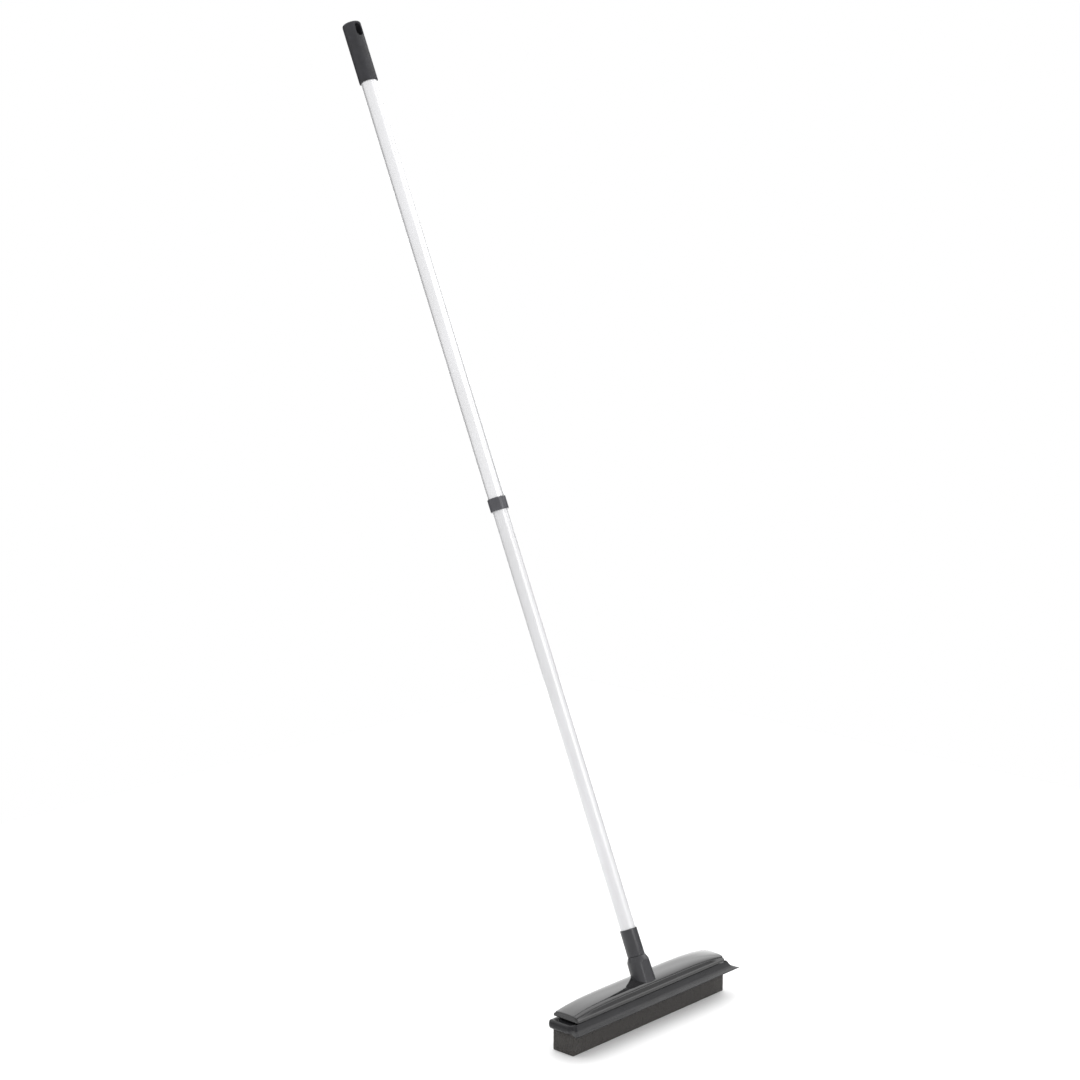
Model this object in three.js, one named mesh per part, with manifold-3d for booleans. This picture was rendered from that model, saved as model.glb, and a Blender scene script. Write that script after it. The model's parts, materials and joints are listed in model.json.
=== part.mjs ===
// A telescopic floor and window squeegee: a long plastic head with a rubber blade over a foam block,
// and a two-piece pole that slides and is locked by a twist.
// Millimetres, +Z up. The head lies along X, the blade points to -Y, and the pole leans towards +Y.
// The origin is the centre of the foam block's sole.
import * as THREE from "three";
import { mergeVertices } from "three/addons/utils/BufferGeometryUtils.js";
import Module from "manifold-3d";

const wasm = await Module();
wasm.setup();

// ---- driving dimensions ----
const GAP = 0.3; // left between pieces that touch on the real object
const RUNNING = 0.12; // radial clearance of a tube that slides
const BONDED = 0.06; // radial clearance of a tube that is glued in
const ROUND = 48; // sides of a turned piece

const FOAM = { length: 300, depth: 34, height: 28.7 };

const RUBBER = {
  bottom: 29.0, // underside, on the foam
  middle: 35.0, // height of the rounded lip's outermost line
  top: 41.0, // top of the pad
  crest: 43.3, // top of the front wall, just under the cover's rim
  front: -21.5, // where the blade leaves the front wall
  tip_y: -33.7,
  tip_under: 33.1, // underside of the blade's tip
  back: 21.2, // how far the rounded back lip stands out
  body: 143.5, // half length of the full section
  shoulder: 150, // half length at which the ends start to fall away
  end: 157, // half length of the rounded end lips
  point: 163, // half length at the blade's pointed corners
  lip: 4.6, // width of the lip's rounding
  corner: 6, // radius of the back corners seen from above
  wall: 4.5, // thickness of the front wall
  step: 1.5, // run from the pad up to the front wall's crest
  blend: -10, // depth at which the end lips start to turn into the blade
};
// The blade's upper face: how far out from its root, and how high.
const BLADE = [[0, 43.3], [2, 40.9], [4.6, 37.4], [6.5, 36.0], [9.3, 34.9], [12.2, 34.2]];
// The blade's underside: how far out from the foam, and how high.
const BLADE_UNDER = [[0, 29], [0.6, 31.3], [8, 33.2], [16.7, 33.1]];

const PLATE = {
  length: 281,
  front: -13.4,
  back: 15.0,
  bottom: 41.3,
  top: 45.7,
  rib: 3.2, // height of the fence on the plate
  rib_inset: 9, // how far the fence stands in from the plate's ends
  rib_wall: 2,
};

const COVER = {
  half: 147, // half length
  front: -21.6,
  back: 20.0,
  rim: 43.7, // height of the rim's lower edge
  bead: 46.2, // top of the rim's upright face
  slope: 3.1, // how far the band above it leans in
  band: 6.8, // height of that band in the middle
  riser: 8.2, // height above the bead at which the crown starts
  crown: 57.7, // ridge in the middle
  end_crown: 51.4, // ridge at the ends
  corner: 2.5, // radius of the corners seen from above
  wall: 2.4,
  stations: 12, // sections from the middle to one end
};

const POLE = {
  lean: THREE.MathUtils.degToRad(23.64),
  y: -5.68, // the pole axis passes through (0, y, z)
  z: 51.08,
};

// Along the pole axis, measured from (0, POLE.y, POLE.z).
const NECK = {
  foot: -2,
  top: 35.6,
  r_top: 14.4, // below the taper
  r_bottom: 15.3,
  bore: 10.3,
  floor: 14.5, // bottom of the bore
  pad: 12.6, // distance of the flat front from the axis
  lip: 1.6, // wall left at the mouth
  taper: 6, // length of the taper up to the mouth
};
const CONNECTOR = { stud_end: 15.6, sleeve: 36.0, web: 40.0, top: 71.6, r_low: 11.6, r_top: 11.3 };
const THREAD = { r_root: 8.6, r_crest: 9.9, pitch: 4, turns: 4 };
const LOWER = { r: 10.15, wall: 0.6, bottom: 40.4, top: 709 };
const UPPER = { r: 11.0, wall: 0.5, bottom: 643.7, top: 1303 };
const COLLAR = { bottom: 639.7, top: 657.7, r: 12.5, lip: 3.6, edge: 0.8 };
const GRIP = { bottom: 1245, top: 1329.7, r: 12.8, round: 3.4 };
const HANG_SLOT = { width: 10, length: 17.4, centre: 1317.2 };

// The twist lock, all of it inside the upper tube.
const CORE = { plug: 690, flange: 709.4, journal: 711.8, end: 735.6, r_plug: 9.4, r_flange: 10.4 };
const CAM = { r: 5.5, lift: 0.8 };
const SLEEVE = { bottom: 712.2, top: 735.0, r: 10.36, bore: 6.6, slit: 3.2 };
const CAP = { bottom: 736.0, top: 738.6, r: 10.1, hole: 2.3 };
const LOCK_SCREW = { r: 1.9, r_head: 4.0, head: 2.8, reach: 16 };

const PLATE_SCREWS = {
  at: [-112, -62, 62, 112],
  y: 0.8,
  r: 1.7,
  r_head: 3.3,
  head: 2.2, // height of the head
  top: 53.0, // height of the screw's point
  boss: 4.2, // radius of the boss it bites into
};
const NECK_SCREWS = { at: [-12.5, 12.5], y: -1, r: 1.45, r_head: 2.9, head: 2.0, top: 66.4 };

// ---- materials ----
const material = (name, color, roughness, metalness = 0) =>
  new THREE.MeshStandardMaterial({ name, color, roughness, metalness });
const FINISH = {
  foam: material("foam", 0x403d3b, 1.0),
  rubber: material("rubber", 0x2d2d30, 0.55),
  gloss: material("gloss_black", 0x1d1d1f, 0.15),
  matte: material("matte_black", 0x2b2b2e, 0.5),
  tube: material("tube_white", 0xe9e9eb, 0.3, 0.2),
  nylon: material("nylon", 0xd8d6cc, 0.5),
  steel: material("steel", 0xb4b6b8, 0.35, 1),
};

// ---- geometry helpers ----
const { lerp, smoothstep, clamp } = THREE.MathUtils;

function solidOf(geometry) {
  const bare = geometry.index ? geometry.toNonIndexed() : geometry.clone();
  bare.deleteAttribute("normal");
  bare.deleteAttribute("uv");
  const merged = mergeVertices(bare, 1e-4);
  return new wasm.Manifold(
    new wasm.Mesh({
      numProp: 3,
      vertProperties: merged.attributes.position.array,
      triVerts: new Uint32Array(merged.index.array),
    }),
  );
}

function geometryOf(solid) {
  const mesh = solid.getMesh();
  const geometry = new THREE.BufferGeometry();
  geometry.setAttribute("position", new THREE.BufferAttribute(mesh.vertProperties, 3));
  geometry.setIndex(new THREE.BufferAttribute(mesh.triVerts, 1));
  return geometry;
}

const joined = (...pieces) => geometryOf(pieces.map(solidOf).reduce((whole, next) => whole.add(next)));
const cut = (body, ...tools) =>
  geometryOf(tools.map(solidOf).reduce((left, tool) => left.subtract(tool), solidOf(body)));

// A solid turned about Z from a closed profile of [radius, height] points.
function turned(profile, sides = ROUND) {
  const closed = [...profile, profile[0]];
  const area = closed.slice(1).reduce((sum, [r, z], i) => sum + closed[i][0] * z - r * closed[i][1], 0);
  const outline = area < 0 ? closed.reverse() : closed;
  const points = outline.map(([r, z]) => new THREE.Vector2(r, z));
  return new THREE.LatheGeometry(points, sides).rotateX(Math.PI / 2);
}

const rod = (r, low, high, sides = ROUND) => turned([[0, low], [r, low], [r, high], [0, high]], sides);
const pipe = (r, bore, low, high) => turned([[bore, low], [r, low], [r, high], [bore, high]]);

// A prism between two heights from an outline of [x, y] points.
function prism(outline, low, high) {
  const shape = new THREE.Shape(outline.map(([x, y]) => new THREE.Vector2(x, y)));
  const options = { depth: high - low, bevelEnabled: false };
  return new THREE.ExtrudeGeometry(shape, options).translate(0, 0, low);
}

const block = (x, y, z) =>
  new THREE.BoxGeometry(x[1] - x[0], y[1] - y[0], z[1] - z[0]).translate(
    (x[0] + x[1]) / 2,
    (y[0] + y[1]) / 2,
    (z[0] + z[1]) / 2,
  );

// A closed skin through sections along X. A section is {x, ring}, and its ring runs
// anticlockwise in (y, z) seen from +X.
function lofted(sections) {
  const sides = sections[0].ring.length;
  const positions = sections.flatMap(({ x, ring }) => ring.flatMap(([y, z]) => [x, y, z]));
  const index = [];
  for (let k = 0; k + 1 < sections.length; k++)
    for (let i = 0; i < sides; i++) {
      const a = k * sides + i;
      const b = k * sides + ((i + 1) % sides);
      index.push(a, b, b + sides, a, b + sides, a + sides);
    }
  const flat = ({ ring }) => ring.map(([y, z]) => new THREE.Vector2(y, z));
  const last = (sections.length - 1) * sides;
  for (const [a, b, c] of THREE.ShapeUtils.triangulateShape(flat(sections[0]), [])) index.push(a, c, b);
  for (const [a, b, c] of THREE.ShapeUtils.triangulateShape(flat(sections.at(-1)), []))
    index.push(last + a, last + b, last + c);
  const geometry = new THREE.BufferGeometry();
  geometry.setAttribute("position", new THREE.Float32BufferAttribute(positions, 3));
  geometry.setIndex(index);
  return geometry;
}

// A closed skin between two height functions over a plan grid of [x, y] points, whose rows run
// towards -Y and whose points run towards +X.
function between(plan, top, under) {
  const rows = plan.length;
  const cols = plan[0].length;
  const sheet = (height) => plan.flat().flatMap(([x, y]) => [x, y, height(x, y)]);
  const positions = [...sheet(top), ...sheet(under)];
  const low = rows * cols;
  const index = [];
  const quad = (a, b, c, d) => index.push(a, b, c, a, c, d);
  for (let r = 0; r + 1 < rows; r++)
    for (let c = 0; c + 1 < cols; c++) {
      const a = r * cols + c;
      quad(a, a + cols, a + cols + 1, a + 1);
      quad(low + a, low + a + 1, low + a + cols + 1, low + a + cols);
    }
  const edge = (a, b) => quad(a, b, low + b, low + a);
  for (let c = 0; c + 1 < cols; c++) {
    edge(c, c + 1);
    edge((rows - 1) * cols + c + 1, (rows - 1) * cols + c);
  }
  for (let r = 0; r + 1 < rows; r++) {
    edge((r + 1) * cols, r * cols);
    edge(r * cols + cols - 1, (r + 1) * cols + cols - 1);
  }
  const geometry = new THREE.BufferGeometry();
  geometry.setAttribute("position", new THREE.Float32BufferAttribute(positions, 3));
  geometry.setIndex(index);
  return geometry;
}

// Points of an elliptical arc in a section's plane, angles in degrees.
function arc([cy, cz], [ry, rz], from, to, steps) {
  return Array.from({ length: steps + 1 }, (_, i) => {
    const angle = THREE.MathUtils.degToRad(from + ((to - from) * i) / steps);
    return [cy + ry * Math.cos(angle), cz + rz * Math.sin(angle)];
  });
}

// ---- head ----
function foamBlock() {
  const { length, depth, height } = FOAM;
  return block([-length / 2, length / 2], [-depth / 2, depth / 2], [0, height]);
}

// Value at x on a line through [x, value] points.
function along(points, x) {
  const next = points.findIndex(([at]) => at >= x);
  if (next < 0) return points.at(-1)[1];
  if (next === 0) return points[0][1];
  const [x0, v0] = points[next - 1];
  const [x1, v1] = points[next];
  return v0 + ((v1 - v0) * (x - x0)) / (x1 - x0);
}

// Half length of the rubber at a depth y.
function rubberHalf(y) {
  const { end, point, tip_y, back, corner, blend } = RUBBER;
  const inner = back - corner;
  if (y > inner) return end - corner + Math.sqrt(Math.max(0, corner ** 2 - (y - inner) ** 2));
  return end + (point - end) * clamp((blend - y) / (blend - tip_y), 0, 1) ** 1.5;
}

// Height of the rounded lip above or below its outermost line, from reach on its inner side to 0 at
// its outermost line.
function lipRise(x, y, reach) {
  const { back, lip } = RUBBER;
  const past = Math.max((y - back) / lip, (Math.abs(x) - rubberHalf(y)) / lip) + 1;
  return reach * Math.sqrt(1 - clamp(past, 0, 1) ** 2);
}

// Share of the blade in the end's shape: none along the rounded lip, all at the front corner.
const bladeShare = (y) => 1 - smoothstep(y, RUBBER.front, RUBBER.blend);

function rubberTop(x, y) {
  const { middle, top, crest, front, shoulder, wall, step } = RUBBER;
  const out = Math.abs(x) - shoulder;
  if (y < front) return along(BLADE, Math.max(front - y, out));
  const level = along([[front + wall, crest], [front + wall + step, top]], y);
  const rounded = Math.min(level, middle + lipRise(x, y, top - middle));
  const bladed = Math.min(level, along(BLADE, Math.max(0, out)));
  return out > 0 ? lerp(rounded, bladed, bladeShare(y)) : rounded;
}

function rubberUnder(x, y) {
  const { bottom, middle, tip_under, front, shoulder } = RUBBER;
  const out = Math.abs(x) - shoulder;
  const level = along(BLADE_UNDER, -y - FOAM.depth / 2);
  if (y < front) return out > 0 ? Math.max(level, tip_under) : level;
  const rounded = Math.max(level, middle - lipRise(x, y, middle - bottom));
  return lerp(rounded, tip_under, bladeShare(y) * smoothstep(out, 0, 2));
}

// The rubber moulding: a pad with a rounded lip at the back and ends, and a thin blade that flares out
// in front to a point at each corner.
function squeegeeRubber() {
  const { body, back, front, lip, wall, step, blend } = RUBBER;
  const depths = [
    ...[0, 0.5, 1.5, 3, lip].map((inward) => back - inward),
    back - 3 * lip,
    blend,
    (blend + front + wall + step) / 2,
    front + wall + step,
    front + wall,
    front + wall / 2,
    ...BLADE.map(([out]) => front - out),
  ];
  const ends = [0, 0.25, 0.48, 0.62, 0.75, 0.86, 0.95, 1];
  const plan = depths.map((y) => {
    const right = [body / 2, ...ends.map((share) => lerp(body, rubberHalf(y), share))];
    return [...right.map((x) => -x).reverse(), 0, ...right].map((x) => [x, y]);
  });
  return between(plan, rubberTop, rubberUnder);
}

function carrierPlate() {
  const { length, front, back, bottom, top, rib, rib_inset, rib_wall } = PLATE;
  const x = [-length / 2, length / 2];
  const slab = block(x, [front, back], [bottom, top]);
  const fence = block([x[0] + rib_inset, x[1] - rib_inset], [front + 1, back - 1], [top - 1, top + rib]);
  const well = block(
    [x[0] + rib_inset + rib_wall, x[1] - rib_inset - rib_wall],
    [front + 1 + rib_wall, back - 1 - rib_wall],
    [top, top + rib + 1],
  );
  const holes = PLATE_SCREWS.at.flatMap((at) => [
    rod(PLATE_SCREWS.r + 0.3, bottom - 1, top + 1, 24).translate(at, PLATE_SCREWS.y, 0),
    rod(PLATE_SCREWS.r_head + 0.3, bottom - 1, bottom + PLATE_SCREWS.head + 0.3, 24).translate(
      at,
      PLATE_SCREWS.y,
      0,
    ),
  ]);
  return cut(joined(slab, cut(fence, well)), ...holes);
}

// Height of the cover's ridge at a distance x from the middle.
function ridge(x) {
  const { crown, end_crown, half } = COVER;
  return crown - (crown - end_crown) * Math.min(1, Math.abs(x) / half) ** 5;
}

// One section of the cover, drawn in from its outer surface by inset (negative grows it). Everything
// above the bead gets lower towards the ends.
function coverSection(x, inset, low) {
  const { half, corner, front, back, bead, slope, band, riser, crown } = COVER;
  const past = Math.max(0, Math.abs(x) - (half - corner));
  const plan = corner - Math.sqrt(Math.max(0, corner ** 2 - past ** 2));
  const f = front + plan + inset;
  const b = back - plan - inset;
  const share = ((ridge(x) - bead) / (crown - bead)) ** 1.5;
  const centre = (f + b) / 2;
  const reach = (b - f) / 2 - slope;
  const base = bead + riser * share - Math.max(inset, 0);
  const top = ridge(x) - inset;
  const arch = Array.from({ length: 13 }, (_, i) => {
    const t = Math.cos((i * Math.PI) / 12);
    return [centre + reach * t, base + (top - base) * Math.sqrt(1 - Math.abs(t) ** 2.6)];
  });
  const step = Math.min(bead + band * share, base - GAP);
  const edge = Math.min(bead, step - 2 * GAP);
  const foot = slope - 0.2; // the band stops just short of the crown
  const ring = [[f, low], [b, low], [b, edge], [b - foot, step], ...arch, [f + foot, step], [f, edge]];
  return { x, ring };
}

function coverSolid(inset, low) {
  const { half, stations, corner } = COVER;
  const end = half - inset;
  const places = Array.from({ length: stations + 1 }, (_, i) => {
    const share = i / stations;
    return end * (1 - (1 - share) ** 1.7);
  });
  places.push(end - corner * 0.2, end - corner * 0.05);
  const sorted = places.sort((a, b) => a - b);
  const scale = half / end;
  const right = sorted.slice(1).map((x) => ({ ...coverSection(x * scale, inset, low), x }));
  const left = right.map(({ x, ring }) => ({ x: -x, ring })).reverse();
  return lofted([...left, coverSection(0, inset, low), ...right]);
}

function headCover() {
  const { rim, crown, wall } = COVER;
  const shell = cut(coverSolid(0, rim), coverSolid(wall, rim - 5));
  const bosses = PLATE_SCREWS.at.map((x) =>
    rod(PLATE_SCREWS.boss, PLATE.top + GAP, ridge(x) - wall + 0.8, 24).translate(x, PLATE_SCREWS.y, 0),
  );
  const pilots = PLATE_SCREWS.at.map((x) =>
    rod(PLATE_SCREWS.r + 0.05, rim - 1, PLATE_SCREWS.top + 0.4, 24).translate(x, PLATE_SCREWS.y, 0),
  );
  const neckHoles = NECK_SCREWS.at.map((x) =>
    rod(NECK_SCREWS.r + 0.25, rim, crown + 5, 20).translate(x, NECK_SCREWS.y, 0),
  );
  return cut(joined(shell, ...bosses), ...pilots, ...neckHoles);
}

// A self-tapping screw that points up, its head from low to low + head.
const screw = ({ r, r_head, head }, low, high) =>
  turned(
    [[0, low], [r_head * 0.8, low], [r_head, low + 0.6], [r_head, low + head], [r, low + head],
      [r, high - r * 1.4], [0.2, high], [0, high]],
    20,
  );

const plateScrew = () => screw(PLATE_SCREWS, PLATE.bottom + 0.1, PLATE_SCREWS.top);
const neckScrew = () =>
  screw(NECK_SCREWS, COVER.crown - COVER.wall - NECK_SCREWS.head - 2 * GAP, NECK_SCREWS.top);

// ---- pole, drawn about its own axis ----
const onPoleAxis = (geometry) => geometry.rotateX(-POLE.lean).translate(0, POLE.y, POLE.z);

// The threaded socket that stands on the cover. It tapers to its mouth, and its front carries a flat pad.
function neckSocket() {
  const { foot, top, r_top, r_bottom, bore, floor, pad, lip, taper } = NECK;
  const body = turned([[0, foot], [r_bottom, foot], [r_top, top - taper], [bore + lip, top], [0, top]]);
  const flat = block([-20, 20], [-30, -pad], [foot - 1, top - taper]);
  const socket = rod(bore, floor, top + 2);
  const leaning = onPoleAxis(cut(body, flat, socket));
  const pilots = NECK_SCREWS.at.map((x) =>
    rod(NECK_SCREWS.r + 0.05, 40, NECK_SCREWS.top + 0.4, 20).translate(x, NECK_SCREWS.y, 0),
  );
  return cut(leaning, coverSolid(-GAP, -60), ...pilots);
}

// The ferrule on the pole's end: a sleeve over the tube and a threaded stud below it.
function poleConnector() {
  const { stud_end, sleeve, web, top, r_low, r_top } = CONNECTOR;
  const { r_root, r_crest, pitch, turns } = THREAD;
  const thread = Array.from({ length: turns }, (_, i) => {
    const z = stud_end + 1.5 + i * pitch;
    return [[r_root, z], [r_crest, z + 0.9], [r_crest, z + 1.6], [r_root, z + 2.5]];
  }).flat();
  const bore = LOWER.r + RUNNING;
  return turned([
    [0, stud_end], [r_root - 0.8, stud_end], [r_root, stud_end + 0.8],
    ...thread,
    [r_root, sleeve], [r_low - 0.5, sleeve], [r_low, sleeve + 0.5],
    [r_top, top - 0.3], [r_top - 0.25, top], [bore, top], [bore, web], [0, web],
  ]);
}

const lowerTube = () => pipe(LOWER.r, LOWER.r - LOWER.wall, LOWER.bottom, LOWER.top);
const upperTube = () => pipe(UPPER.r, UPPER.r - UPPER.wall, UPPER.bottom, UPPER.top);

// The ring on the upper tube's end. Its lip guides the lower tube and stops the lock's flange.
function guideCollar() {
  const { bottom, top, r, lip, edge } = COLLAR;
  const guide = LOWER.r + RUNNING;
  const seat = UPPER.r + BONDED;
  return turned([
    [guide, bottom],
    [r - edge, bottom],
    [r, bottom + edge],
    [r, top - edge],
    [r - edge, top],
    [seat, top],
    [seat, bottom + lip],
    [guide, bottom + lip],
  ]);
}

function grip() {
  const { bottom, top, r, round } = GRIP;
  const dome = Array.from({ length: 6 }, (_, i) => {
    const angle = (i * Math.PI) / 10;
    return [r - round * (1 - Math.cos(angle)), top - round * (1 - Math.sin(angle))];
  });
  const bore = UPPER.r + BONDED;
  const body = turned([
    [bore, bottom], [r - 0.6, bottom], [r, bottom + 0.6], ...dome, [0, top],
    [0, UPPER.top + 0.4], [bore, UPPER.top + 0.4],
  ]);
  const { width, length, centre } = HANG_SLOT;
  const flat = length / 2 - width / 2;
  const slot = [
    ...arc([flat, 0], [width / 2, width / 2], -90, 90, 10),
    ...arc([-flat, 0], [width / 2, width / 2], 90, 270, 10),
  ].map(([along, across]) => [across, along]);
  const tool = prism(slot, -20, 20).rotateX(-Math.PI / 2).translate(0, 0, centre);
  return cut(body, tool);
}

// ---- twist lock ----
function lockCore() {
  const { plug, flange, journal, end, r_plug, r_flange } = CORE;
  const body = turned([
    [0, plug], [r_plug - 1, plug], [r_plug, plug + 2], [r_plug, flange],
    [r_flange, flange], [r_flange, journal], [0, journal],
  ]);
  const lobe = Array.from({ length: 40 }, (_, i) => {
    const angle = (i * Math.PI) / 20;
    const radius = CAM.r + CAM.lift * Math.max(0, Math.cos(angle)) ** 2;
    return [radius * Math.cos(angle), radius * Math.sin(angle)];
  });
  const pilot = rod(LOCK_SCREW.r + 0.05, end - LOCK_SCREW.reach - 0.5, end + 1, 24);
  return cut(joined(body, prism(lobe, journal - 1, end)), pilot);
}

function lockSleeve() {
  const { bottom, top, r, bore, slit } = SLEEVE;
  const ring = turned([
    [bore, bottom], [r - 0.6, bottom], [r, bottom + 1.2], [r, bottom + 8], [r - 0.5, bottom + 8.6],
    [r - 0.5, bottom + 14.2], [r, bottom + 14.8], [r, top - 1.2], [r - 0.6, top], [bore, top],
  ]);
  return cut(ring, block([0, 20], [-slit / 2, slit / 2], [bottom - 1, top + 1]));
}

const lockCap = () => pipe(CAP.r, CAP.hole, CAP.bottom, CAP.top);

function lockScrew() {
  const { r, r_head, head, reach } = LOCK_SCREW;
  const seat = CAP.top + 0.1;
  return turned([
    [0, CORE.end - reach], [0.3, CORE.end - reach], [r, CORE.end - reach + 2.4], [r, seat], [r_head, seat],
    [r_head, seat + head * 0.5], [r_head * 0.6, seat + head], [0, seat + head],
  ], 24);
}

// ---- scene ----
function piece(name, geometry, finish) {
  const mesh = new THREE.Mesh(geometry, finish);
  mesh.name = name;
  return mesh;
}

function screws(name, geometry, { at, y }) {
  return at.map((x, i) => {
    const mesh = piece(`${name}_${i + 1}`, geometry, FINISH.steel);
    mesh.position.set(x, y, 0);
    return mesh;
  });
}

const head = new THREE.Group();
head.add(
  piece("foam_block", foamBlock(), FINISH.foam),
  piece("squeegee_rubber", squeegeeRubber(), FINISH.rubber),
  piece("carrier_plate", carrierPlate(), FINISH.matte),
  ...screws("plate_screw", plateScrew(), PLATE_SCREWS),
  piece("head_cover", headCover(), FINISH.gloss),
  ...screws("neck_screw", neckScrew(), NECK_SCREWS),
  piece("neck_socket", neckSocket(), FINISH.matte),
);

const pole = new THREE.Group();
pole.position.set(0, POLE.y, POLE.z);
pole.rotation.x = -POLE.lean;
pole.add(
  piece("pole_connector", poleConnector(), FINISH.matte),
  piece("lower_tube", lowerTube(), FINISH.tube),
  piece("lock_core", lockCore(), FINISH.nylon),
  piece("lock_sleeve", lockSleeve(), FINISH.nylon),
  piece("lock_cap", lockCap(), FINISH.steel),
  piece("lock_screw", lockScrew(), FINISH.steel),
  piece("upper_tube", upperTube(), FINISH.tube),
  piece("guide_collar", guideCollar(), FINISH.matte),
  piece("grip", grip(), FINISH.matte),
);

const squeegee = new THREE.Group();
squeegee.add(head, pole);

export default squeegee;
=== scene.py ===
"""Looks of a telescopic floor and window squeegee: refined meshes, procedural materials, floor,
light and camera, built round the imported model. Lengths are in metres; MM turns millimetres into them."""

import json
import math

import bmesh
import bpy
from mathutils import Matrix, Vector, noise


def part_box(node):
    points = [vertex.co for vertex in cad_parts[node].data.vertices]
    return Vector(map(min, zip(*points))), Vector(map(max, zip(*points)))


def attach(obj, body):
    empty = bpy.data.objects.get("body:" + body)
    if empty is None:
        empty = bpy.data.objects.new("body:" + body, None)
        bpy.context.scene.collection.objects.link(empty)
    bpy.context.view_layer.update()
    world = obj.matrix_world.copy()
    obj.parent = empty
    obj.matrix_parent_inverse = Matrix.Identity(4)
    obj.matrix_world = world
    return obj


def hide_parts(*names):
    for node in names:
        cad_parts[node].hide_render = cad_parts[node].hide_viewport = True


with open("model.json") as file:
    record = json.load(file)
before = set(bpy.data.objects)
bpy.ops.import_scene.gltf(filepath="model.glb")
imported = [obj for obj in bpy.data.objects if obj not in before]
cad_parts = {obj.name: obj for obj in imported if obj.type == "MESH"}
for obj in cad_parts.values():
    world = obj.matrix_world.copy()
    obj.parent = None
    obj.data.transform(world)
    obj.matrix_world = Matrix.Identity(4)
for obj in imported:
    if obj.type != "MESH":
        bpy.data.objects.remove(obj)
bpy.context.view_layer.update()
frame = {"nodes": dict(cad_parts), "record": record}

MM = 0.001
ROUND = 128  # sides of a turned piece
MERGE = 1e-7  # distance under which two vertices are one

# ---- the frame: bodies, pole axis and the boxes that every size comes from ----
ROOT, LOCK, UPPER = frame["record"]["behaviour"]["bodies"]
TWIST = frame["record"]["behaviour"]["joints"][0]
FOOT = Vector(TWIST["pos_m"])
AXIS = Vector(TWIST["axis"]).normalized()
LEAN = math.atan2(AXIS.y, AXIS.z)
POLE = Matrix.Translation(FOOT) @ Matrix.Rotation(-LEAN, 4, "X")


def span(node):
    """(radius, low, high) of a round node, along the pole axis from FOOT."""
    low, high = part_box(node)
    r = (high.x - low.x) / 2
    edge = r * math.sin(LEAN)
    return r, (low.z - FOOT.z + edge) / math.cos(LEAN), (high.z - FOOT.z - edge) / math.cos(LEAN)


# ---- mesh helpers ----
def new_object(name, bm):
    """An object in the scene from a bmesh, with its faces turned outwards."""
    bmesh.ops.recalc_face_normals(bm, faces=bm.faces)
    mesh = bpy.data.meshes.new(name)
    bm.to_mesh(mesh)
    bm.free()
    obj = bpy.data.objects.new(name, mesh)
    bpy.context.scene.collection.objects.link(obj)
    return obj


def shade(obj, sharp):
    """Smooth shading, but for edges past sharp degrees."""
    for polygon in obj.data.polygons:
        polygon.use_smooth = True
    obj.data.set_sharp_from_angle(angle=math.radians(sharp))


def piece(name, bm, finish, body, nodes, sharp=32):
    """A finished piece from a bmesh, riding on its body in place of the nodes."""
    bmesh.ops.remove_doubles(bm, verts=bm.verts, dist=MERGE)
    obj = new_object(name, bm)
    shade(obj, sharp)
    obj.data.materials.append(finish)
    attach(obj, body)
    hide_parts(*nodes)
    return obj


def rounded(corners, closed=True, steps=6):
    """Points of an outline of (u, v, radius) corners, each corner with a radius turned in a curve."""
    points, count = [], len(corners)
    for i, (u, v, radius) in enumerate(corners):
        here = Vector((u, v))
        if radius == 0 or (not closed and i in (0, count - 1)):
            points.append(here)
            continue
        before = Vector(corners[i - 1][:2]) - here
        after = Vector(corners[(i + 1) % count][:2]) - here
        half = max(before.angle(after) / 2, 0.05)
        back = min(radius / math.tan(half), 0.49 * before.length, 0.49 * after.length)
        start, end = here + before.normalized() * back, here + after.normalized() * back
        for k in range(steps + 1):
            t = k / steps
            points.append(start * (1 - t) ** 2 + here * (2 * t * (1 - t)) + end * t**2)
    return points


def skin(rings):
    """A closed bmesh through rings of points, with a face over the first and the last."""
    bm = bmesh.new()
    rows = [[bm.verts.new(p) for p in ring] for ring in rings]
    count = len(rows[0])
    for a, b in zip(rows, rows[1:]):
        for i in range(count):
            j = (i + 1) % count
            bm.faces.new((a[i], a[j], b[j], b[i]))
    bm.faces.new(rows[0])
    bm.faces.new(list(reversed(rows[-1])))
    return bm


def turned(profile, shape=None):
    """A bmesh turned about the pole axis from a closed profile of (radius, height) points. A shape
    function of (radius, height, angle) may change the radius as it turns."""
    rings = []
    for k in range(ROUND):
        angle = 2 * math.pi * k / ROUND
        c, s = math.cos(angle), math.sin(angle)
        ring = [(shape(r, z, angle) if shape else r, z) for r, z in profile]
        rings.append([POLE @ Vector((r * c, r * s, z)) for r, z in ring])
    bm = bmesh.new()
    rows = [[bm.verts.new(p) for p in ring] for ring in rings]
    count = len(profile)
    for k in range(ROUND):
        a, b = rows[k], rows[(k + 1) % ROUND]
        for i in range(count):
            j = (i + 1) % count
            if max(profile[i][0], profile[j][0]) > 1e-9:
                bm.faces.new((a[i], b[i], b[j], a[j]))
    bmesh.ops.remove_doubles(bm, verts=bm.verts, dist=MERGE)
    return bm


def cutter(bm):
    """A plain object for use as a boolean tool."""
    return new_object("tool", bm)


def carve(obj, *tools, operation="DIFFERENCE", sharp=32):
    """Cuts the tools out of obj, or joins them to it, for good and removes them."""
    for tool in tools:
        modifier = obj.modifiers.new("cut", "BOOLEAN")
        modifier.operation, modifier.solver, modifier.object = operation, "EXACT", tool
    settle(obj)
    for tool in tools:
        bpy.data.objects.remove(tool)
    shade(obj, sharp)


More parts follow.
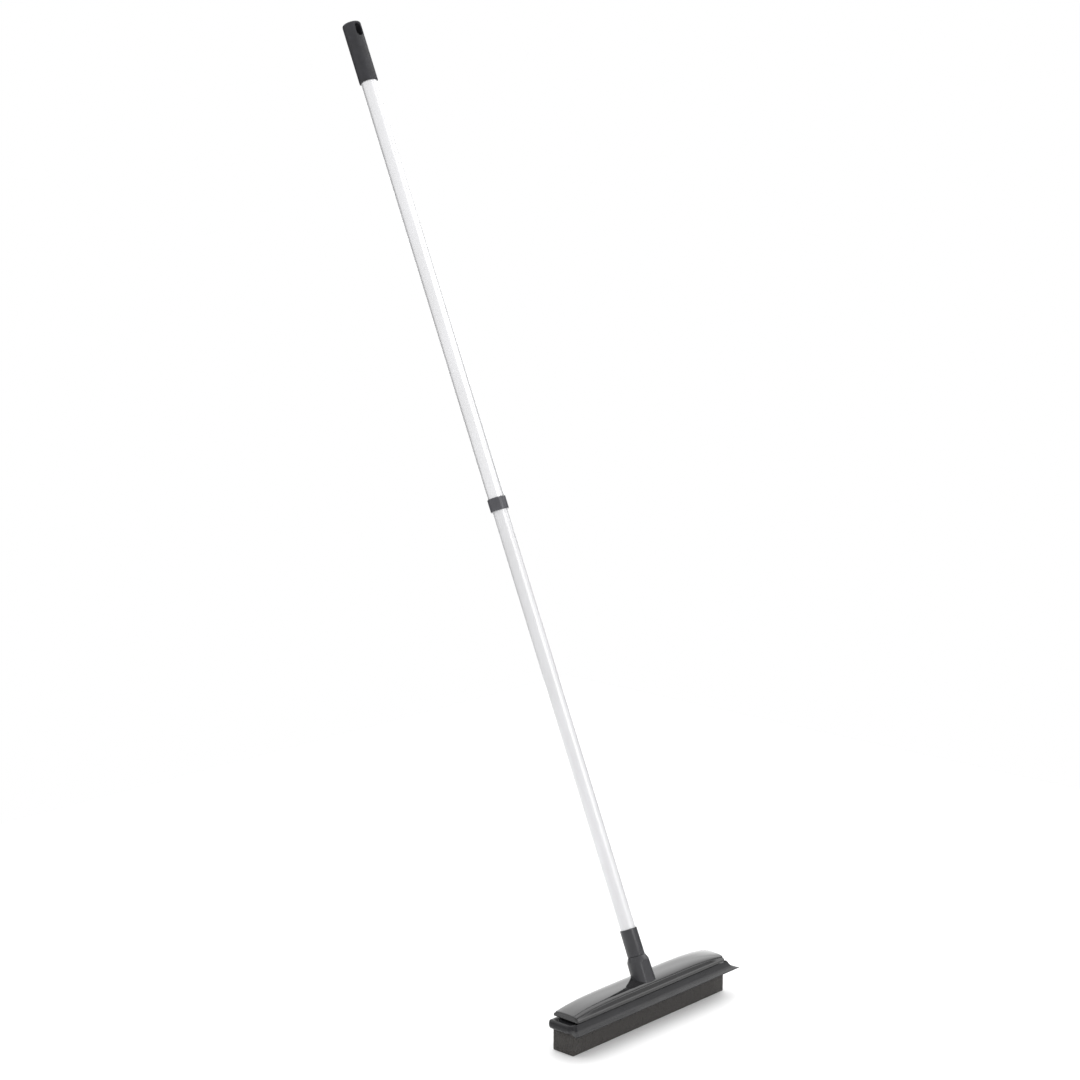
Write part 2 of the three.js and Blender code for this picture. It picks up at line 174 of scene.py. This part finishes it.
def settle(obj):
    """Applies every modifier of obj to its mesh."""
    graph = bpy.context.evaluated_depsgraph_get()
    mesh = bpy.data.meshes.new_from_object(obj.evaluated_get(graph))
    obj.modifiers.clear()
    obj.data = mesh


# ---- materials ----
def material(name, color, roughness, metallic=0.0, **sockets):
    """A material and its shader. Further sockets are set by name, with _ for a space."""
    mat = bpy.data.materials.new(name)
    mat.use_nodes = True
    shader = mat.node_tree.nodes["Principled BSDF"]
    shader.inputs["Base Color"].default_value = (*color, 1)
    shader.inputs["Roughness"].default_value = roughness
    shader.inputs["Metallic"].default_value = metallic
    for socket, value in sockets.items():
        shader.inputs[socket.replace("_", " ")].default_value = value
    return mat, shader


def texture(mat, kind, size, stretch=(1, 1, 1), **settings):
    """A texture node of features about size metres across, in object space."""
    nodes, links = mat.node_tree.nodes, mat.node_tree.links
    place = nodes.new("ShaderNodeTexCoord")
    mapping = nodes.new("ShaderNodeMapping")
    mapping.inputs["Scale"].default_value = tuple(s / size for s in stretch)
    links.new(place.outputs["Object"], mapping.inputs["Vector"])
    node = nodes.new(kind)
    for key, value in settings.items():
        if key in node.inputs:
            node.inputs[key].default_value = value
        else:
            setattr(node, key, value)
    node.inputs["Scale"].default_value = 1.0
    links.new(mapping.outputs["Vector"], node.inputs["Vector"])
    return node


def grain(mat, size, detail=2.0, stretch=(1, 1, 1)):
    return texture(mat, "ShaderNodeTexNoise", size, stretch, Detail=detail).outputs["Fac"]


def cells(mat, size, feature="F1"):
    return texture(mat, "ShaderNodeTexVoronoi", size, feature=feature).outputs["Distance"]


def ramp(mat, source, low, high, start=0.3, end=0.7):
    """A number that runs from low to high as source runs from start to end."""
    node = mat.node_tree.nodes.new("ShaderNodeMapRange")
    for key, value in (("From Min", start), ("From Max", end), ("To Min", low), ("To Max", high)):
        node.inputs[key].default_value = value
    mat.node_tree.links.new(source, node.inputs["Value"])
    return node.outputs["Result"]


def tint(mat, shader, source, low, high, start=0.3, end=0.7):
    """Base colour between low and high by a texture."""
    node = mat.node_tree.nodes.new("ShaderNodeMix")
    node.data_type = "RGBA"
    node.inputs["A"].default_value = (*low, 1)
    node.inputs["B"].default_value = (*high, 1)
    links = mat.node_tree.links
    links.new(ramp(mat, source, 0, 1, start, end), node.inputs["Factor"])
    links.new(node.outputs["Result"], shader.inputs["Base Color"])


def roughen(mat, shader, source, low, high, start=0.3, end=0.7):
    mat.node_tree.links.new(ramp(mat, source, low, high, start, end), shader.inputs["Roughness"])


def relief(mat, shader, layers):
    """Bump from (height output, depth in metres) layers, one on the other."""
    nodes, links = mat.node_tree.nodes, mat.node_tree.links
    below = None
    for source, depth in layers:
        bump = nodes.new("ShaderNodeBump")
        bump.inputs["Strength"].default_value = 1.0
        bump.inputs["Distance"].default_value = depth
        links.new(source, bump.inputs["Height"])
        if below:
            links.new(below, bump.inputs["Normal"])
        below = bump.outputs["Normal"]
    links.new(below, shader.inputs["Normal"])


def grey(level, blue=0.0):
    return (level, level, level * (1 + blue))


def gloss_plastic():
    mat, shader = material("gloss_black", grey(0.016), 0.06, IOR=1.5)
    tint(mat, shader, grain(mat, 60 * MM, 3), grey(0.013), grey(0.020, 0.05))
    roughen(mat, shader, grain(mat, 18 * MM, 4, (0.3, 1, 1)), 0.04, 0.09)
    relief(mat, shader, [(grain(mat, 9 * MM, 1), 0.004 * MM)])
    return mat


def matte_plastic(name, level):
    mat, shader = material(name, grey(level), 0.35, IOR=1.5)
    tint(mat, shader, grain(mat, 25 * MM, 4), grey(level * 0.85, 0.12), grey(level * 1.2, 0.14))
    roughen(mat, shader, grain(mat, 5 * MM, 4), 0.28, 0.38)
    relief(mat, shader, [(grain(mat, 0.45 * MM, 3), 0.02 * MM)])
    return mat


def grip_plastic():
    mat, shader = material("soft_grip", grey(0.04), 0.55, IOR=1.48)
    tint(mat, shader, grain(mat, 12 * MM, 4), grey(0.013, 0.2), grey(0.020, 0.25))
    roughen(mat, shader, grain(mat, 4 * MM, 4), 0.48, 0.62)
    pebbles = cells(mat, 0.9 * MM, "SMOOTH_F1")
    relief(mat, shader, [(pebbles, 0.05 * MM), (grain(mat, 0.3 * MM, 2), 0.01 * MM)])
    return mat


def rubber():
    mat, shader = material("rubber", grey(0.014), 0.4, IOR=1.3)
    tint(mat, shader, grain(mat, 14 * MM, 5, (0.25, 1, 1)), grey(0.010, 0.1), grey(0.017, 0.12))
    roughen(mat, shader, grain(mat, 8 * MM, 5, (0.3, 1, 1)), 0.2, 0.3)
    waves = grain(mat, 9 * MM, 2, (0.3, 1, 1))
    relief(mat, shader, [(waves, 0.06 * MM), (grain(mat, 0.35 * MM, 2), 0.012 * MM)])
    return mat


def foam():
    mat, shader = material("foam", (0.06, 0.056, 0.052), 1.0, IOR=1.35)
    pores_and_painted_shade = cells(mat, 1.15 * MM, "F1")
    # the colour darkens from the middle of each cell out to the pores between cells: painted shade in the
    # pores
    tint(mat, shader, pores_and_painted_shade, (0.060, 0.056, 0.052), (0.024, 0.022, 0.021), 0.35, 0.75)
    shader.inputs["Sheen Weight"].default_value = 0.15
    relief(
        mat,
        shader,
        [
            (ramp(mat, pores_and_painted_shade, 1, 0, 0.2, 0.75), 0.30 * MM),
            (ramp(mat, cells(mat, 2.3 * MM, "F1"), 1, 0, 0.55, 0.8), 0.25 * MM),
            (grain(mat, 0.4 * MM, 3), 0.08 * MM),
        ],
    )
    return mat


def tube_coat(name, level, roughness, metallic, coat):
    mat, shader = material(name, grey(level, 0.015), roughness, metallic, IOR=1.5)
    low, high = grey(level - 0.02, 0.012), grey(level + 0.02, 0.02)
    tint(mat, shader, grain(mat, 40 * MM, 3, (1, 1, 0.2)), low, high)
    shader.inputs["Coat Weight"].default_value = coat
    shader.inputs["Coat Roughness"].default_value = 0.06
    roughen(mat, shader, grain(mat, 10 * MM, 3, (1, 1, 0.15)), roughness - 0.03, roughness + 0.04)
    relief(mat, shader, [(grain(mat, 1.6 * MM, 2), 0.006 * MM)])
    return mat


def nylon():
    mat, shader = material("nylon", (0.72, 0.69, 0.60), 0.4, IOR=1.5)
    tint(mat, shader, grain(mat, 8 * MM, 3), (0.70, 0.67, 0.58), (0.76, 0.73, 0.65))
    relief(mat, shader, [(grain(mat, 0.6 * MM, 2), 0.01 * MM)])
    return mat


def steel():
    mat, shader = material("steel", grey(0.6), 0.32, 1.0)
    roughen(mat, shader, grain(mat, 1.5 * MM, 4), 0.25, 0.4)
    relief(mat, shader, [(grain(mat, 0.4 * MM, 3), 0.008 * MM)])
    return mat


GLOSS, GRIP, RUBBER, FOAM = gloss_plastic(), grip_plastic(), rubber(), foam()
# the collar's finish is the same matte black made over twice as light: a painted highlight in place of light
# from the strip
MATTE, COLLAR_PAINTED_HIGHLIGHT = matte_plastic("matte_black", 0.025), matte_plastic("matte_collar_painted_highlight", 0.055)
COAT_UPPER = tube_coat("tube_gloss", 0.76, 0.24, 0.4, 0.5)
COAT_LOWER = tube_coat("tube_satin", 0.66, 0.36, 0.25, 0.2)
NYLON, STEEL = nylon(), steel()

# ---- camera ----
CAMERA_AT = Vector((-2.14167, -1.79347, 1.14732))
CAMERA_AZIMUTH, CAMERA_ELEVATION, CAMERA_ROLL = map(math.radians, (-47.35, 10.51, 0.14))
CAMERA_LENS = 76.115  # on a 36 mm sensor


def make_camera():
    a, e = CAMERA_AZIMUTH, CAMERA_ELEVATION
    back = Vector((math.sin(a) * math.cos(e), -math.cos(a) * math.cos(e), math.sin(e)))
    side = Vector((math.cos(a), math.sin(a), 0))
    turn = Matrix((side, back.cross(side), back)).transposed() @ Matrix.Rotation(CAMERA_ROLL, 3, "Z")
    data = bpy.data.cameras.new("camera")
    data.lens, data.sensor_width = CAMERA_LENS, 36
    data.clip_start, data.clip_end = 0.05, 60
    camera = bpy.data.objects.new("camera", data)
    camera.matrix_world = Matrix.Translation(CAMERA_AT) @ turn.to_4x4()
    bpy.context.scene.collection.objects.link(camera)
    bpy.context.scene.camera = camera


# ---- foam ----
FOAM_STEP = 1.6 * MM  # spacing of the block's mesh
FOAM_SOFT = 0.9 * MM  # rounding of its edges
FOAM_SUNK = 0.16 * MM  # how far its skin lies inside the CAD block
FOAM_UNEVEN = 0.10  # how far the skin wanders from that, mm
FOAM_WAVES = ((260, 1.0), (700, 0.6))  # waves in the skin: how many in a metre, and their share


def foam_pad():
    """The foam block, cut square, with softened edges and a slightly uneven skin."""
    low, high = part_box("foam_block")
    size = high - low
    counts = [max(2, round(s / FOAM_STEP)) for s in size]
    bm = bmesh.new()
    bmesh.ops.create_cube(bm, size=1.0)
    for axis, count in enumerate(counts):
        for k in range(1, count):
            at = Vector((0, 0, 0))
            at[axis] = -0.5 + k / count
            normal = Vector((0, 0, 0))
            normal[axis] = 1
            geom = bm.verts[:] + bm.edges[:] + bm.faces[:]
            bmesh.ops.bisect_plane(bm, geom=geom, dist=1e-9, plane_co=at, plane_no=normal)
    centre = (low + high) / 2
    soft = FOAM_SOFT
    for vert in bm.verts:
        p = Vector(c * s for c, s in zip(vert.co, size))
        inner = Vector(max(-s / 2 + soft, min(s / 2 - soft, c)) for c, s in zip(p, size))
        out = p - inner
        if out.length > 1e-9:
            out = out.normalized() * soft
        wave = sum(share * noise.noise(p * count) for count, share in FOAM_WAVES)
        uneven = wave * FOAM_UNEVEN * MM - FOAM_SUNK
        vert.co = centre + inner + out * (1 + uneven / soft)
    return piece("foam_pad", bm, FOAM, ROOT, ["foam_block"], 60)


# ---- squeegee rubber, drawn in mm ----
RUBBER_SHAPE = {
    "bottom": 29.0,
    "middle": 35.0,  # height of the rounded lip's outermost line
    "top": 41.0,
    "crest": 43.3,  # top of the front wall
    "front": -21.5,  # where the blade leaves the front wall
    "tip": -33.7,
    "tip_under": 33.1,
    "back": 21.2,
    "body": 143.5,  # half length of the full section
    "shoulder": 150,  # half length at which the ends start to fall away
    "end": 157,  # half length of the rounded end lips
    "point": 163,  # half length at the blade's corners
    "lip": 4.6,  # width of the lip's rounding
    "corner": 6,  # radius of the back corners seen from above
    "wall": 4.5,  # thickness of the front wall
    "step": 1.5,  # run from the pad up to the front wall's crest
    "blend": -10,  # depth at which the end lips start to turn into the blade
}
# (distance out from the root, height, rounding) along the blade's upper face
BLADE_TOP = [
    (0, 43.3, 0),
    (0.5, 43.0, 0.3),
    (2, 40.6, 2),
    (4.8, 36.6, 1.5),
    (7.2, 35.3, 2),
    (11.9, 33.9, 0.3),
    (12.2, 33.7, 0),
]
# the same for its underside, from the foam's face
BLADE_UNDER = [(0, 29.05, 0), (0.6, 31.3, 1), (8, 33.2, 5), (16.7, 33.1, 0)]


def blend(a, b, t):
    return a + (b - a) * t


def ease(t):
    t = max(0.0, min(1.0, t))
    return t * t * (3 - 2 * t)


def along(line, x):
    """Value at x on a line of points that runs towards +x."""
    if x <= line[0][0]:
        return line[0][1]
    for (x0, v0), (x1, v1) in zip(line, line[1:]):
        if x <= x1:
            return blend(v0, v1, (x - x0) / max(1e-9, x1 - x0))
    return line[-1][1]


def soft_max(a, b, sharpness=5):
    """The larger of two numbers, rounded where they are alike."""
    a, b = max(0.0, a), max(0.0, b)
    return (a**sharpness + b**sharpness) ** (1 / sharpness)


TOP_LINE = [tuple(p) for p in rounded(BLADE_TOP, closed=False)]
UNDER_LINE = [tuple(p) for p in rounded(BLADE_UNDER, closed=False)]


def rubber_half(y):
    """Half length of the rubber at a depth y."""
    r = RUBBER_SHAPE
    inner = r["back"] - r["corner"]
    if y > inner:
        return r["end"] - r["corner"] + math.sqrt(max(0.0, r["corner"] ** 2 - (y - inner) ** 2))
    share = max(0.0, min(1.0, (r["blend"] - y) / (r["blend"] - r["tip"])))
    return r["end"] + (r["point"] - r["end"]) * share**1.5


def lip_rise(x, y, reach):
    """Height of the rounded lip above its outermost line, from reach on its inner side to 0."""
    r = RUBBER_SHAPE
    past = max((y - r["back"]) / r["lip"], (abs(x) - rubber_half(y)) / r["lip"]) + 1
    return reach * math.sqrt(1 - max(0.0, min(1.0, past)) ** 2)


def blade_share(y):
    """0 along the rounded end lip, 1 where its end is all blade."""
    r = RUBBER_SHAPE
    return 1 - ease((y - r["front"]) / (r["blend"] - r["front"]))


def rubber_top(x, y):
    r = RUBBER_SHAPE
    out = abs(x) - r["shoulder"]
    if y < r["front"]:
        return along(TOP_LINE, soft_max(r["front"] - y, out))
    inner = r["front"] + r["wall"]
    level = along([(inner, r["crest"]), (inner + r["step"], r["top"])], y)
    lip = min(level, r["middle"] + lip_rise(x, y, r["top"] - r["middle"]))
    bladed = min(level, along(TOP_LINE, max(0, out)))
    return blend(lip, bladed, blade_share(y)) if out > 0 else lip


def rubber_under(x, y):
    r = RUBBER_SHAPE
    low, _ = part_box("foam_block")
    out = abs(x) - r["shoulder"]
    level = along(UNDER_LINE, low.y / MM - y)
    if y < r["front"]:
        return blend(level, max(level, r["tip_under"]), ease(out / 2))
    lip = max(level, r["middle"] - lip_rise(x, y, r["middle"] - r["bottom"]))
    return blend(lip, r["tip_under"], blade_share(y) * ease(out / 2))


def rubber_depths():
    """Depths, from back to tip, at which the rubber is drawn: close together where it curves."""
    r = RUBBER_SHAPE
    inner = r["front"] + r["wall"]
    depths = [r["back"] - r["lip"] * (1 - math.cos(k * math.pi / 20)) for k in range(11)]
    depths += [blend(r["back"] - r["lip"], r["blend"], k / 8) for k in range(1, 9)]
    depths += [blend(r["blend"], inner + r["step"], k / 6) for k in range(1, 7)]
    depths += [inner, r["front"] + r["wall"] / 2]
    steps = 26
    return depths + [blend(r["front"], r["tip"], k / steps) for k in range(steps + 1)]


def squeegee_rubber():
    r = RUBBER_SHAPE
    shares = [math.sin(k * math.pi / 48) for k in range(25)]
    plan = []
    for y in rubber_depths():
        half = [r["body"] * k / 12 for k in range(1, 12)]
        half += [blend(r["body"], rubber_half(y), share) for share in shares]
        plan.append([(x, y) for x in [-x for x in reversed(half)] + [0.0] + half])
    rows = []
    for line in plan:
        over = [Vector((x, y, rubber_top(x, y))) * MM for x, y in line]
        under = [Vector((x, y, rubber_under(x, y))) * MM for x, y in line]
        rows.append(over + under[::-1])
    piece("squeegee_blade", skin(rows), RUBBER, ROOT, ["squeegee_rubber"], 40)


# ---- cover, drawn in mm ----
COVER = {
    "half": 147,
    "front": -21.6,
    "back": 20.0,
    "rim": 43.7,
    "bead": 46.2,  # top of the rim's upright face
    "slope": 3.1,  # how far the band above it leans in
    "band": 53.0,  # top of that band in the middle
    "groove": 53.9,  # top of the groove above the band
    "shoulder": 54.4,  # where the crown starts
    "crown": 57.7,
    "end_crown": 51.4,
    "corner": 2.5,  # radius of the corners seen from above
    "end_round": 0.7,  # rounding of the end walls' edges
    "wall": 2.4,
}
BOSS = {"at": (-112, -62, 62, 112), "y": 0.8, "r": 4.2, "bore": 1.75, "bottom": 46.0, "screw_top": 53.4}


def cover_ridge(x):
    fall = COVER["crown"] - COVER["end_crown"]
    return COVER["crown"] - fall * min(1, abs(x) / COVER["half"]) ** 5


def cover_side(share, f, inset):
    """(y, z) points up the cover's front, with its bands made lower by share towards the ends."""
    c = COVER
    low = c["bead"]
    lean = c["slope"]

    def lift(z):
        return low + (z - low) * share - max(inset, 0) * 0.4

    return [
        (f, low - 0.8, 0),
        (f, lift(low) + 0.2, 0.9),
        (f + lean * 0.42, lift(blend(low, c["band"], 0.3)), 1.6),
        (f + lean * 0.93, lift(c["band"]) - 0.3 * share, 0.4),
        (f + lean + 0.35, lift(c["band"]) + 0.1 * share, 0.15),
        (f + lean + 0.4, lift(c["groove"]), 0.15),
        (f + lean, lift(c["shoulder"]), 0.2),
    ]


def cover_section(x, inset, low):
    """Outline of the cover at x, drawn in by inset (negative grows it) and carried down to low."""
    c = COVER
    past = max(0.0, abs(x) - (c["half"] - c["corner"]))
    plan = c["corner"] - math.sqrt(max(0.0, c["corner"] ** 2 - past**2))
    tip = max(0.0, abs(x) - (c["half"] - c["end_round"]))
    trim = c["end_round"] - math.sqrt(max(0.0, c["end_round"] ** 2 - tip**2))
    f, b = c["front"] + plan + inset, c["back"] - plan - inset
    share = ((cover_ridge(x) - c["bead"]) / (c["crown"] - c["bead"])) ** 1.5
    front = [tuple(p) for p in rounded(cover_side(share, f, inset), closed=False, steps=3)]
    back = [(f + b - y, z) for y, z in front]
    base, top = front[-1][1], cover_ridge(x) - inset
    centre, reach = (f + b) / 2, (b - f) / 2 - c["slope"]
    arch = []
    for k in range(1, 32):
        t = math.cos(k * math.pi / 32)
        arch.append((centre + reach * t, base + (top - base) * math.sqrt(1 - abs(t) ** 2.6)))
    ring = [(f, low), (b, low)] + back + arch + front[::-1]
    return [(y, z - trim if z > c["bead"] else z) for y, z in ring]


def cover_solid(inset, low):
    """A solid of the cover, drawn in or grown by inset, as a bmesh."""
    c = COVER
    end = c["half"] - inset
    half = [end * (1 - (1 - k / 40) ** 1.6) for k in range(1, 40)]
    half += [end - c["corner"] * (1 - math.sin(k * math.pi / 24)) for k in range(13)]
    half = sorted(set(round(x, 4) for x in half))
    places = [-x for x in reversed(half)] + [0.0] + half
    scale = c["half"] / end
    return skin([[Vector((x, y, z)) * MM for y, z in cover_section(x * scale, inset, low)] for x in places])


def tower(x, y, r, low, high, sides=32):
    """An upright cylinder as a cutter, in mm."""
    turn = [2 * math.pi * k / sides for k in range(sides)]
    rings = [[Vector((x + r * math.cos(a), y + r * math.sin(a), z)) * MM for a in turn] for z in (low, high)]
    return cutter(skin(rings))


def head_cover():
    obj = piece("head_shell", cover_solid(0, COVER["rim"]), GLOSS, ROOT, ["head_cover"], 26)
    carve(obj, cutter(cover_solid(COVER["wall"], COVER["rim"] - 5)), sharp=26)
    y, bottom = BOSS["y"], BOSS["bottom"]
    bosses = [tower(x, y, BOSS["r"], bottom, cover_ridge(x) - COVER["wall"] + 0.8) for x in BOSS["at"]]
    carve(obj, *bosses, operation="UNION", sharp=26)
    carve(obj, *[tower(x, y, BOSS["bore"], bottom - 1, BOSS["screw_top"]) for x in BOSS["at"]], sharp=26)


TOOL_LOW = 20  # how far down a tool of the cover reaches, mm


def cover_tool(gap):
    """A solid of the cover grown by gap and carried down, to cut a foot that stands on it."""
    return cutter(cover_solid(-gap, TOOL_LOW))


# ---- neck, connector and tubes ----
LOWER_SEAT = 10.27  # radius of the bores that the lower tube sits or slides in, mm
UPPER_SEAT = 11.06  # the same for the upper tube


def profile(corners):
    """A rounded closed profile of (radius, height, rounding) in mm, in metres."""
    return [(max(0.0, p.x) * MM, p.y * MM) for p in rounded(corners)]


NECK = {"foot": -2, "top": 35.6, "floor": 14.5, "r_low": 15.3, "r_top": 14.4, "bore": 10.3, "taper": 6}  # mm
NECK_PAD = 12.6  # distance of the flat front from the axis, mm
PAD_FADE = 2.2  # height under the taper over which the flat front runs out, mm
PAD_RISE = 3  # how far out it goes as it does, mm
PAD_POWER = 16  # how tightly its edges turn
FOOT_GAP = 0.05  # gap between the neck's foot and the cover, mm


def neck_front(r, z, angle):
    """Radius of the neck with its flat front, whose edges are soft. In metres."""
    facing = max(0.05, -math.sin(angle))
    rise = ease((z / MM - (NECK["top"] - NECK["taper"] - PAD_FADE)) / PAD_FADE)
    limit = (NECK_PAD + PAD_RISE * rise) * MM / facing
    return 0.0 if r == 0 else (r**-PAD_POWER + limit**-PAD_POWER) ** (-1 / PAD_POWER)


def neck_socket():
    n = NECK
    top = n["top"]
    start = top - n["taper"]
    levels = [start - 0.25 * k for k in range(12, 2, -1)]
    corners = [(0, n["foot"], 0), (n["r_low"], n["foot"], 0)]
    corners += [(blend(n["r_low"], n["r_top"], z / top), z, 0) for z in levels]
    corners += [(n["r_top"], start, 2.5), (n["bore"] + 1.6, top, 0.5), (n["bore"], top, 0.3)]
    corners += [(n["bore"], n["floor"], 0.4), (0, n["floor"], 0)]
    bm = turned(profile(corners), shape=neck_front)
    obj = piece("neck_socket_body", bm, MATTE, ROOT, ["neck_socket"])
    carve(obj, cover_tool(FOOT_GAP))


FERRULE = {
    "stud": 15.6,  # bottom of the stud
    "root": 8.6,  # its radius
    "sleeve": 36.0,  # bottom of the sleeve
    "r_low": 11.55,
    "r_top": 11.28,
    "web": 40.0,  # bottom of the bore
    "top": 71.6,
}  # mm


def pole_connector():
    f = FERRULE
    corners = [
        (0, f["stud"], 0),
        (f["root"] - 0.2, f["stud"], 0.6),
        (f["root"], f["sleeve"], 0),
        (f["r_low"], f["sleeve"], 0.6),
        (f["r_top"], f["top"], 0.3),
        (LOWER_SEAT, f["top"], 0.1),
        (LOWER_SEAT, f["web"], 0),
        (0, f["web"], 0),
    ]
    piece("pole_ferrule", turned(profile(corners)), MATTE, ROOT, ["pole_connector"])


TUBE_EDGE = 0.2 * MM  # rounding of a tube's ends


def tube(name, node, wall, coat, body):
    """A thin tube with rolled-over edges at both ends."""
    r, low, high = span(node)
    bore = r - wall * MM
    ring = rounded([(u, v, TUBE_EDGE) for u, v in ((bore, low), (r, low), (r, high), (bore, high))])
    piece(name, turned([(p.x, p.y) for p in ring]), coat, body, [node])


COLLAR_LIP = 3.6  # length of the lip that guides the lower tube, mm


def guide_collar():
    r, low, high = (v / MM for v in span("guide_collar"))
    shelf = low + COLLAR_LIP
    ring = [
        (LOWER_SEAT, low, 0.3),
        (r, low, 0.9),
        (r, high, 0.9),
        (UPPER_SEAT, high, 0.1),
        (UPPER_SEAT, shelf, 0),
        (LOWER_SEAT, shelf, 0.1),
    ]
    piece("guide_ring", turned(profile(ring)), COLLAR_PAINTED_HIGHLIGHT, UPPER, ["guide_collar"])


GRIP_SHAPE = {"bottom": 1245, "top": 1329.6, "inner_end": 1303.4, "round": 3.8}  # mm
SLOT = {"width": 10.0, "length": 17.4, "centre": 1317.2, "dish": 1.0, "reach": 20}  # mm


def arcs(start, end, steps=16):
    return [start + (end - start) * k / steps for k in range(steps + 1)]


def slot_ring(grow, depth):
    """The slot's outline, grown by grow, across the pole at a depth, in mm."""
    half = SLOT["width"] / 2 + grow
    flat = (SLOT["length"] - SLOT["width"]) / 2
    outline = [(half * math.cos(a), flat + half * math.sin(a)) for a in arcs(0, math.pi)]
    outline += [(half * math.cos(a), -flat + half * math.sin(a)) for a in arcs(math.pi, 2 * math.pi)]
    turn = Matrix.Translation((0, 0, SLOT["centre"] * MM)) @ Matrix.Rotation(math.pi / 2, 4, "X")
    return [POLE @ turn @ (Vector((x, y, depth)) * MM) for x, y in outline]


def grip():
    r = span("grip")[0] / MM
    g = GRIP_SHAPE
    corners = [
        (UPPER_SEAT, g["bottom"], 0.2),
        (r, g["bottom"], 0.7),
        (r, g["top"], g["round"]),
        (0, g["top"], 0),
        (0, g["inner_end"], 0),
        (UPPER_SEAT, g["inner_end"], 0),
    ]
    obj = piece("grip_sleeve", turned(profile(corners)), GRIP, UPPER, ["grip"])
    mouth = math.sqrt(r**2 - (SLOT["width"] / 2) ** 2) - SLOT["dish"]
    reach = SLOT["reach"]
    depths = [(-reach, reach - mouth), (-mouth, 0), (mouth, 0), (reach, reach - mouth)]
    carve(obj, cutter(skin([slot_ring(grow, depth) for depth, grow in depths])))


# ---- floor, light ----
FLOOR_GREY = 0.84
FLOOR_HALF = 1.3  # the floor ends where its own white meets the white that the camera sees beyond it
BACKDROP = (0.7355, 0.6775, 0)  # level direction that the camera looks along
# radiance by half of (1 + cosine of the angle off the backdrop), from behind the camera round to it
AROUND = [(0.0, 1.0), (1.0, 2.3), (0.56, 0.9), (0.66, 0.1), (0.93, 0.05), (0.975, 2.0)]
CEILING = [(0.0, 1.0), (1.0, 2.4), (0.48, 1.0), (0.57, 2.4)]  # the same for the ceiling
CEILING_EDGE = (0.28, 0.38)  # height of a direction at which the ceiling starts and is full
STRIP_AT = (0.05, -0.871, 0.489)  # direction of a narrow light
STRIP_EDGE = (0.975, 0.992)  # cosines at which it fades out and is full
STRIP_LEVEL = 6.0


def colour_stops(tree, fac, stops):
    """Radiance by a number from 0 to 1, between (number, level) stops."""
    node = tree.nodes.new("ShaderNodeValToRGB")
    for k, (at, level) in enumerate(stops):
        stop = node.color_ramp.elements[k] if k < 2 else node.color_ramp.elements.new(at)
        stop.position = at
        stop.color = (level, level, level, 1)
    tree.links.new(fac, node.inputs["Fac"])
    return node.outputs["Color"]


def facing(tree, direction, toward):
    """Cosine of the angle between the direction looked in and toward."""
    dot = tree.nodes.new("ShaderNodeVectorMath")
    dot.operation = "DOT_PRODUCT"
    dot.inputs[1].default_value = toward
    tree.links.new(direction, dot.inputs[0])
    return dot.outputs["Value"]


def mix(tree, factor, a, b):
    """From a to b by factor. Either may be a plain level."""
    node = tree.nodes.new("ShaderNodeMix")
    node.data_type = "RGBA"
    tree.links.new(factor, node.inputs["Factor"])
    for source, key in ((a, "A"), (b, "B")):
        if isinstance(source, float):
            node.inputs[key].default_value = (source, source, source, 1)
        else:
            tree.links.new(source, node.inputs[key])
    return node.outputs["Result"]


def floor():
    bm = bmesh.new()
    bmesh.ops.create_grid(bm, x_segments=1, y_segments=1, size=FLOOR_HALF)
    mesh = bpy.data.meshes.new("floor")
    bm.to_mesh(mesh)
    bm.free()
    mat, shader = material("floor", grey(FLOOR_GREY), 0.9)
    roughen(mat, shader, grain(mat, 60 * MM, 3), 0.85, 0.95)
    mesh.materials.append(mat)
    obj = bpy.data.objects.new("floor", mesh)
    bpy.context.scene.collection.objects.link(obj)


def sky():
    """A studio: bright backdrop, darker sides, bright ceiling. The camera itself sees plain white."""
    world = bpy.data.worlds.new("studio")
    bpy.context.scene.world = world
    world.use_nodes = True
    tree = world.node_tree
    direction = tree.nodes.new("ShaderNodeTexCoord").outputs["Generated"]
    half = ramp(world, facing(tree, direction, BACKDROP), 0, 1, -1, 1)
    around, ceiling = colour_stops(tree, half, AROUND), colour_stops(tree, half, CEILING)
    upward = ramp(world, facing(tree, direction, (0, 0, 1)), 0, 1, *CEILING_EDGE)
    strip = ramp(world, facing(tree, direction, STRIP_AT), 0, 1, *STRIP_EDGE)
    lit = mix(tree, strip, mix(tree, upward, around, ceiling), STRIP_LEVEL)
    from_camera = tree.nodes.new("ShaderNodeLightPath").outputs["Is Camera Ray"]
    tree.links.new(mix(tree, from_camera, lit, 1.0), tree.nodes["Background"].inputs["Color"])


def keep_inner_parts():
    """Carried-over CAD nodes keep their shape and get a finish."""
    finish = {"carrier_plate": MATTE, "lock_core": NYLON, "lock_sleeve": NYLON}
    finish |= {"lock_cap": STEEL, "lock_screw": STEEL}
    finish |= {f"plate_screw_{k}": STEEL for k in (1, 2, 3, 4)} | {f"neck_screw_{k}": STEEL for k in (1, 2)}
    for name, mat in finish.items():
        node = frame["nodes"][name]
        node.data.materials.clear()
        node.data.materials.append(mat)


make_camera()
pad = foam_pad()
squeegee_rubber()
head_cover()
neck_socket()
pole_connector()
tube("lower_pole", "lower_tube", 0.6, COAT_LOWER, ROOT)
tube("upper_pole_tube", "upper_tube", 0.5, COAT_UPPER, UPPER)
guide_collar()
grip()
keep_inner_parts()
floor()
sky()
bpy.context.scene.view_settings.view_transform = "Standard"
